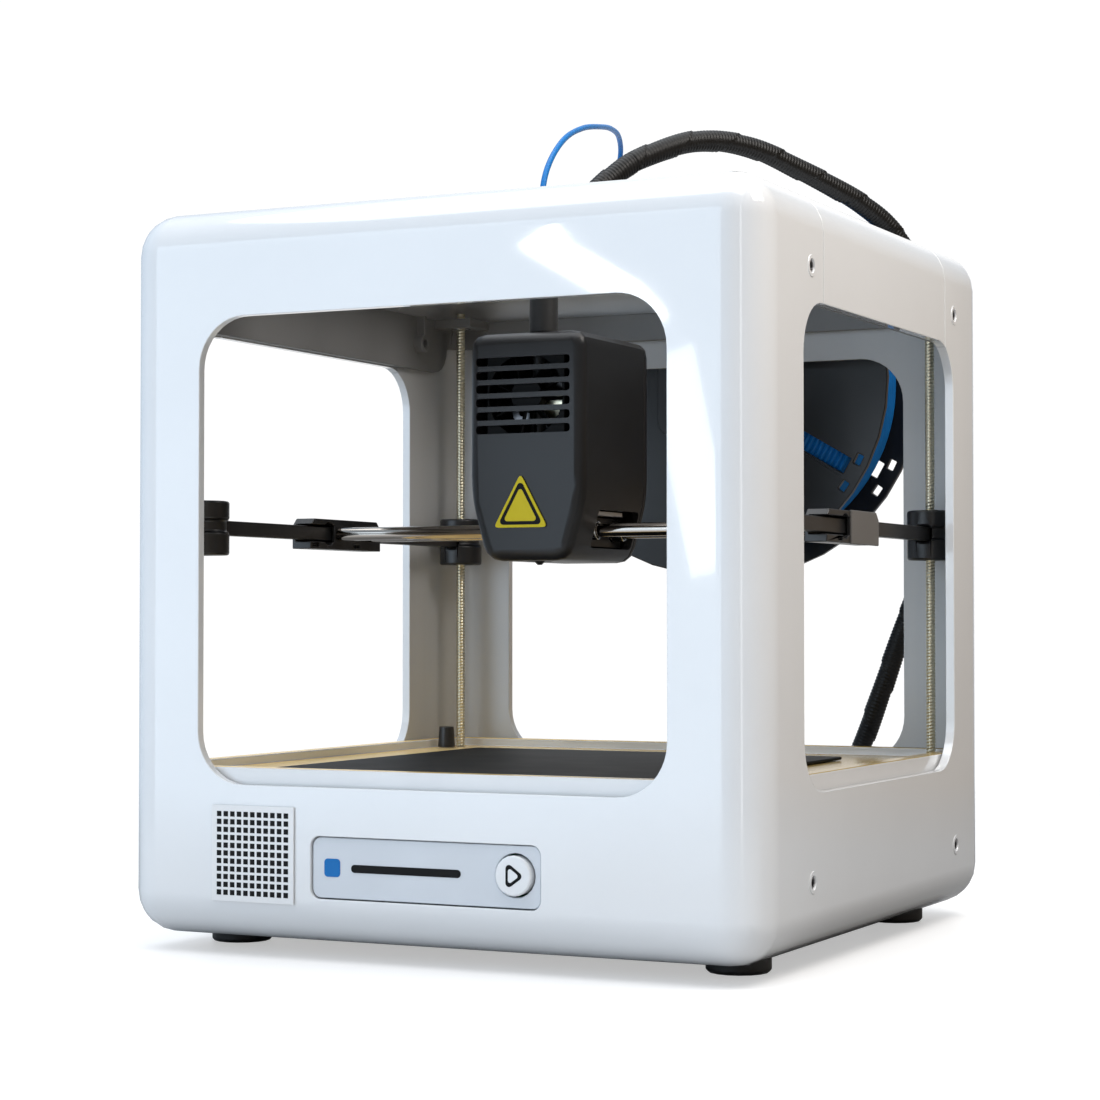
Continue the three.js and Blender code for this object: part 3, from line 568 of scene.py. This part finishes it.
SLEEVE_ROUTE = [
    (-3.1, -9.8, 186.5), (-2.5, -9.2, 192), (-0.8, -6.6, 201), (2.4, -0.6, 211.5),
    (6.8, 7, 219.5), (12.5, 16.5, 226.6), (23.1, 33.5, 233.8), (33.4, 50.4, 234.2),
    (43.9, 67.4, 229), (56.4, 87.6, 220.7), (63.8, 99.6, 211.8), (71, 110, 195),
    (76, 115, 175), (78, 117, 152), (76, 115, 128), (71, 110, 108), (64.5, 105.5, 88),
    (57.2, 103.5, 66), (51.4, 105, 52), (47.8, 104.6, 43.6), (46.2, 101, 38.6),
    (46, 96, 37.5), (46, 86, 37.5),
]
FILAMENT_ROUTE = [
    (-6.18, -12.6, 139.9), (-6.18, -12.6, 153), (-6.18, -12.6, 166), (-5.9, -13.2, 174),
    (-5.6, -14.1, 182), (-5, -14, 200), (-5.4, -12.4, 214), (-6.2, -6, 223.6),
    (-9, 10, 233.4), (-12.6, 30, 240.2), (-16.4, 50, 244.4), (-21.5, 70, 247.6),
    (-27, 88, 248.5), (-33.2, 103, 245.4), (-39.6, 112, 238.6), (-47, 115, 224),
    (-52.4, 115, 203), (-55.3, 115, 182), (-55.8, 115, 167.5),
]

# Where each cord passes from one body to the next
SLEEVE_CUTS = [(1.2, -3, 207.5), (11, 14, 225), (33.6, 50.8, 234.2)]
FILAMENT_CUTS = [(-5.1, -13.6, 206), (-7.2, -1, 227), (-16.4, 50, 244.4)]


def smooth_route(points, step):
    """Points a step apart on one smooth curve through the given points."""
    knots = [Vector(p) for p in points]
    ends = [2 * knots[0] - knots[1], *knots, 2 * knots[-1] - knots[-2]]
    dense = []
    for k in range(len(knots) - 1):
        before, here, there, after = ends[k : k + 4]
        count = max(4, int((there - here).length / step * 4))
        for i in range(count):
            t = i / count
            dense.append(
                0.5 * (2 * here + (there - before) * t
                       + (2 * before - 5 * here + 4 * there - after) * t * t
                       + (3 * here - before - 3 * there + after) * t ** 3)
            )
    dense.append(knots[-1])
    route, walked, wanted = [dense[0]], 0.0, step
    for one, other in zip(dense, dense[1:]):
        length = (other - one).length
        while walked + length >= wanted:
            route.append(one.lerp(other, (wanted - walked) / length))
            wanted += step
        walked += length
    if (route[-1] - dense[-1]).length > step / 2:
        route.append(dense[-1])
    return route


def sweep_rings(route, sides, radius_at):
    """Rings of points round a route: radius_at(turn, distance) gives the radius in mm."""
    rings, distance = [], 0.0
    across = Vector((1, 0, 0))
    for k, point in enumerate(route):
        along = (route[min(k + 1, len(route) - 1)] - route[max(k - 1, 0)]).normalized()
        across = (across - along * across.dot(along)).normalized()
        other = along.cross(across)
        if k:
            distance += (point - route[k - 1]).length
        rings.append([
            point + (across * math.cos(TAU * i / sides) + other * math.sin(TAU * i / sides))
            * radius_at(TAU * i / sides, distance)
            for i in range(sides)
        ])
    return rings


def sleeve_radius(turn, distance):
    """Fine ribs, the step of the overlapping edge on a slow spiral, and a fuller middle."""
    rib = abs(math.sin(math.pi * distance / RIB_PITCH))
    lap = (turn / TAU + distance / LAP_ADVANCE) % 1
    full = max(0, min(1, distance / FULL_AFTER, (SLEEVE_LENGTH - distance) / FULL_AFTER))
    return SLEEVE_RADIUS - RIB_HEIGHT * (1 - rib) - LAP_HEIGHT * (1 - lap) + FULLNESS * full


def flexible(name, route, held, cuts, step, sides, radius_at, look, moving, fixed):
    """A cable in four lengths: three named for the joints it crosses, and one on the frame.

    The point held is not used.
    """
    path = smooth_route(route, step)
    rings = sweep_rings(path, sides, radius_at)
    edges = [0]
    for cut in cuts:
        aim = Vector(cut)
        edges.append(min(range(len(path)), key=lambda k: (path[k] - aim).length))
    edges.append(len(path) - 1)
    pairs = [("head", "carriage"), ("carriage", "gantry"), ("gantry", "frame"), None]
    names = ["at_head", "at_carriage", "at_gantry", "at_frame"]
    for k, pair in enumerate(pairs):
        bm = bmesh.new()
        span = rings[edges[k] : edges[k + 1] + 1]
        made = [[bm.verts.new(p) for p in ring] for ring in span]
        join_rings(bm, made)
        if k == 0:
            bm.faces.new(list(reversed(made[0])))
        if k == len(pairs) - 1:
            bm.faces.new(made[-1])
        bmesh.ops.recalc_face_normals(bm, faces=bm.faces)
        body = None if pair else "frame"
        piece = make_piece(f"{name}_{names[k]}", bm, body, look, crease=60, weighted=False)
        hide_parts(moving if pair else fixed)
        if pair:
            start, end = path[edges[k]], path[edges[k + 1]]
            if k == 0:
                start = Vector(held)
            inward = (end - start).normalized() * END_HOLD * radius_at(0, 0)
            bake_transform(piece)


def make_cables(looks):
    flexible(
        "sleeve", SLEEVE_ROUTE, SLEEVE_ROUTE[0], SLEEVE_CUTS, 0.275, 40, sleeve_radius,
        looks["braid"], "sleeve_moving", "sleeve_fixed",
    )
    flexible(
        "filament", FILAMENT_ROUTE, FILAMENT_ROUTE[3], FILAMENT_CUTS, 1.2, 12,
        lambda turn, distance: FILAMENT_RADIUS, looks["filament_blue"],
        "filament_moving", "filament_fixed",
    )


# Casing


def faces_inside(middle, normal):
    """True for the casing's inner walls, which get painted shade: they face the middle and lie
    inside the outer skin.
    """
    skin = SIDE_FACE - 1.5
    inside = abs(middle.x) < skin and abs(middle.y) < skin and 6 < middle.z < 201
    inward = middle.x * normal.x < -1e-3 or middle.y * normal.y < -1e-3 or normal.z < -0.9
    return inside and inward and not (abs(normal.y) > 0.2 and abs(middle.y) > 91.6)


def make_casing(looks):
    for node in ("casing_shell", "top_cover"):
        # Inner walls get the darker white: painted shade.
        refine(node, looks["white_gloss"], 0.22, 3, also=looks["white_in_painted_shade"],
               paint=faces_inside)
    # The deck's top takes the gold with its painted reflection.
    refine("base_deck", looks["deck_white"], 0.4, 3, also=looks["deck_gold_painted_light"],
           paint=lambda middle, normal: normal.z > 0.7)
    refine("build_mat", looks["mat_black"], 0.3)
    refine("upper_frame", looks["inner_grey"], 0.3)


def make_side_screws(looks):
    """Eight countersunk screws in cup washers, four on each side."""
    washer = [(-1.2, 2.75), (0.02, 2.95), (0.18, 2.8), (0.18, 1.9), (-0.2, 1.7), (-1.2, 1.7)]
    head = [(-1.6, 1.6), (-0.3, 1.6), (-0.15, 1.4), (-0.12, 0.95), (-1.0, 0.9), (-1.1, 0.2)]
    for side, word in ((1, "right"), (-1, "left")):
        rings, heads = bmesh.new(), bmesh.new()
        for y in SCREW_COLUMNS:
            for z in SCREW_ROWS:
                centre = (side * SIDE_FACE, y, z)
                turned(rings, centre, [(a * side, r) for a, r in washer], 32, "x", close=True)
                turned(heads, centre, [(a * side, r) for a, r in head], 32, "x")
        make_piece(f"screw_washers_{word}", rings, "frame", looks["white_gloss"])
        # Steel screw heads painted dark, as a painted dark reflection.
        make_piece(f"side_screws_{word}", heads, "frame", looks["metal_with_painted_shade"],
                   round_off=0.08)


def make_front(looks):
    refine("control_panel", looks["panel_grey"], 0.3, 3)
    refine("play_button", looks["white_gloss"], 0.5, 3)
    refine("front_label", looks["label_white"], 0.05)
    mark = bmesh.new()
    outer = rounded([(25.4, 22.9), (25.4, 27.5), (28.6, 25.2)], 0.25)
    framed(mark, outer, Vector((26.35, 25.2)), 0.62, BUTTON_FACE)
    make_piece("play_mark", mark, "button", looks["label_dark"])
    bar = bmesh.new()
    prism(bar, rounded(rectangle(-5.2, 24.9, 33.0, 2.6), 1.25), *PANEL_PRINT)
    make_piece("panel_bar", bar, "frame", looks["label_dark"], round_off=0.05)
    square = bmesh.new()
    prism(square, rounded(rectangle(-27.2, 24.9, 5.2, 5.2), 1.2), *PANEL_PRINT)
    make_piece("panel_square", square, "frame", looks["filament_blue"],
               round_off=0.05)


def make_label_pattern(looks):
    """A plain grid of dark squares, as a neutral print on the sticker."""
    count, pitch, square = 11, 2.1, 1.4
    bm = bmesh.new()
    for i in range(count):
        for j in range(count):
            x = LABEL_CENTRE[0] + (i - (count - 1) / 2) * pitch
            z = LABEL_CENTRE[1] + (j - (count - 1) / 2) * pitch
            prism(bm, rectangle(x, z, square, square), LABEL_FACE - 0.05, LABEL_FACE + 0.05)
    make_piece("label_squares", bm, "frame", looks["label_dark"])


# Motion parts


def make_lead_screws(looks):
    """Two-start threads, so that one turn lifts the gantry by two pitches."""
    step, sides, depth = 0.125, 16, 0.22
    low, high = LEAD_SCREW_SPAN
    for side, word in ((-1, "left"), (1, "right")):
        bm = bmesh.new()
        rings = []
        for k in range(int((high - low) / step) + 1):
            z = low + k * step
            ring = []
            for i in range(sides):
                turn = i / sides
                phase = (z / THREAD_PITCH - THREAD_STARTS * turn) % 1
                ridge = min(1, 2.4 * abs(phase - 0.5))
                radius = LEAD_SCREW_RADIUS - depth * ridge
                ring.append(bm.verts.new((
                    side * LEAD_SCREW_X + radius * math.cos(TAU * turn),
                    LEAD_SCREW_Y + radius * math.sin(TAU * turn),
                    z,
                )))
            rings.append(ring)
        join_rings(bm, rings)
        bm.faces.new(list(reversed(rings[0])))
        bm.faces.new(rings[-1])
        bmesh.ops.recalc_face_normals(bm, faces=bm.faces)
        make_piece(f"lead_screw_{word}", bm, f"screw_{word}", looks["brass"],
                   stands_for=[f"z_screw_{word}"], crease=50, weighted=False)


def make_gantry(looks):
    for place in ("front_left", "front_right", "rear_left", "rear_right"):
        refine(f"corner_carrier_{place}", looks["black_plastic"], 0.7, 3)
    for word in ("left", "right"):
        refine(f"z_nut_{word}", looks["brass"], 0.2)
        refine(f"y_bar_{word}", looks["black_plastic"], 0.25)
    refine("y_slider_left", looks["black_plastic"], 0.25, 3)
    refine("y_slider_right", looks["black_plastic"], 0.25, 3)
    for word in ("front", "rear"):
        refine(f"x_rod_{word}", looks["chrome"], 0.3)


def make_rollers(looks):
    """A thin steel roller in the open half of each slider."""
    half, radius = 0.4, 3.2
    profile = [(-half, 0.6), (-half, 3.0), (-half + 0.2, radius), (half - 0.2, radius),
               (half, 3.0), (half, 0.6)]
    for word, x, y in ROLLERS:
        bm = bmesh.new()
        turned(bm, (x, y, ROD_Z), profile, 40, "x")
        make_piece(f"slider_roller_{word}", bm, "carriage", looks["steel"])


def make_slider_painted_light(looks):
    """A thin grey sheet of painted light over the closed half of the right slider, standing for its
    black plastic where the light falls on it.
    """
    outer_face, thickness, corner = 84.55, 0.45, 2.2
    low_y, high_y, low_z, high_z = -2.2, 20.9, 111.0, 120.5
    outline = [
        (low_y, low_z),
        (high_y, low_z),
        (high_y, high_z - corner),
        (high_y - corner, high_z),
        (low_y, high_z),
    ]
    bm = bmesh.new()
    prism(bm, outline, outer_face - 0.3, outer_face + thickness, "x")
    make_piece("slider_painted_light_sheet", bm, "carriage", looks["slider_painted_light_grey"],
               round_off=0.3, steps=3)


def make_clamp_bolts(looks):
    """A small bright bolt across the neck of each corner carrier."""
    profile = [(0, 0.9), (0.15, 1.05), (1.1, 1.05), (1.25, 0.9), (1.25, 0.55), (4.5, 0.55)]
    outward, forward, height = 3.1, 6.75, 115.3
    for side in (-1, 1):
        for y, row in ((CARRIER_FRONT_Y, "front"), (LEAD_SCREW_Y, "rear")):
            bm = bmesh.new()
            start = (side * LEAD_SCREW_X - outward, y - forward, height)
            turned(bm, start, profile, 20, "x")
            word = "left" if side < 0 else "right"
            make_piece(f"clamp_bolt_{row}_{word}", bm, "gantry", looks["steel"])


# Head


def make_head(looks):
    refine("head_shell", looks["charcoal"], whole=False)
    refine("head_back_cover", looks["charcoal"], 0.5, 3)
    guide = bmesh.new()
    turned(guide, (HEAD_X, NOZZLE_Y, 0), [(141.5, 2.0), (172.0, 2.0)], 20, "z")
    make_piece("filament_guide", guide, "head", looks["rubber"], round_off=0.2)
    refine("x_bearing_block", looks["black_plastic"], 0.3)
    refine("x_bush_front", looks["steel"], 0.25)
    refine("x_bush_rear", looks["steel"], 0.25)
    refine("chassis_plate", looks["aluminium"], 0.15)
    refine("heater_block", looks["aluminium"], 0.3)
    refine("nozzle", looks["rubber"], 0.1)
    # The heat sink's aluminium is painted dark: painted shade inside the head.
    refine("heat_sink", looks["metal_with_painted_shade"], 0.1)
    # The fan gets near-perfect black: its own black plus painted shade in the vents.
    refine("fan_frame", looks["fan_black_and_painted_shade"], 0.3)
    refine("fan_rotor", looks["fan_black_and_painted_shade"], 0.1)
    # The feed motor is painted dark: painted shade inside the head.
    refine("feed_motor", looks["metal_with_painted_shade"], 0.3)
    refine("feed_gear", looks["brass"], 0.1)
    # The idler is painted dark: painted shade inside the head.
    refine("feed_idler", looks["metal_with_painted_shade"], 0.15)
    refine("cable_collar", looks["rubber"], 0.4, 3)


def make_badge(looks):
    """A plain yellow triangle with a dark inner border and no sign on it."""
    refine("front_badge", looks["badge_yellow"], 0.05)
    outer = rounded(BADGE_CORNERS, 1.2)
    bm = bmesh.new()
    framed(bm, outer, Vector(BADGE_CENTRE), 0.77, BADGE_FACE)
    make_piece("badge_border", bm, "head", looks["label_dark"])


# Reel


def make_reel(looks):
    refine("spool_reel", looks["spool_black"], 0.3, 2)
    refine("spool_holder", looks["spool_black"], 0.3)
    refine("spool_retainer", looks["spool_black"], 0.6, 3)
    low, high = WINDING_SPAN
    turns = int((high - low - 1.6) / (2 * FILAMENT_RADIUS))
    pitch = (high - low - 1.6) / turns
    layers = int((WINDING_RADIUS - WINDING_CORE) / (2 * FILAMENT_RADIUS))
    depth = (WINDING_RADIUS - WINDING_CORE) / layers
    bulge = [(part / 6, 0.8 * math.sin(math.pi * part / 6)) for part in range(6)]
    front = [
        (low + 0.8 - out, WINDING_CORE + (k + part) * depth)
        for k in range(layers)
        for part, out in bulge
    ]
    rim = [
        (low + 0.8 + (k + part) * pitch, WINDING_RADIUS - 0.8 + out)
        for k in range(turns)
        for part, out in bulge
    ]
    rear = [(low + high - along, radius) for along, radius in reversed(front)]
    profile = front + rim + rear
    bm = bmesh.new()
    turned(bm, (0, 0, SPOOL_CENTRE_Z), profile, 96, "y", close=True)
    make_piece("filament_turns", bm, "spool", looks["filament_blue"],
               stands_for=["filament_winding"], weighted=False)


def make_the_rest(looks):
    """Every CAD node that hasn't been worked on yet, by its slot."""
    for node, source in sorted(frame["nodes"].items()):
        if not source.hide_render:
            slot = source.data.materials[0].name
            refine(node, looks[slot], 0.2)


make_camera()
looks = make_looks()
light_studio()
make_floor()
make_cables(looks)
make_casing(looks)
make_side_screws(looks)
make_front(looks)
make_label_pattern(looks)
make_lead_screws(looks)
make_gantry(looks)
make_rollers(looks)
make_slider_painted_light(looks)
make_clamp_bolts(looks)
make_head(looks)
make_badge(looks)
make_reel(looks)
make_the_rest(looks)
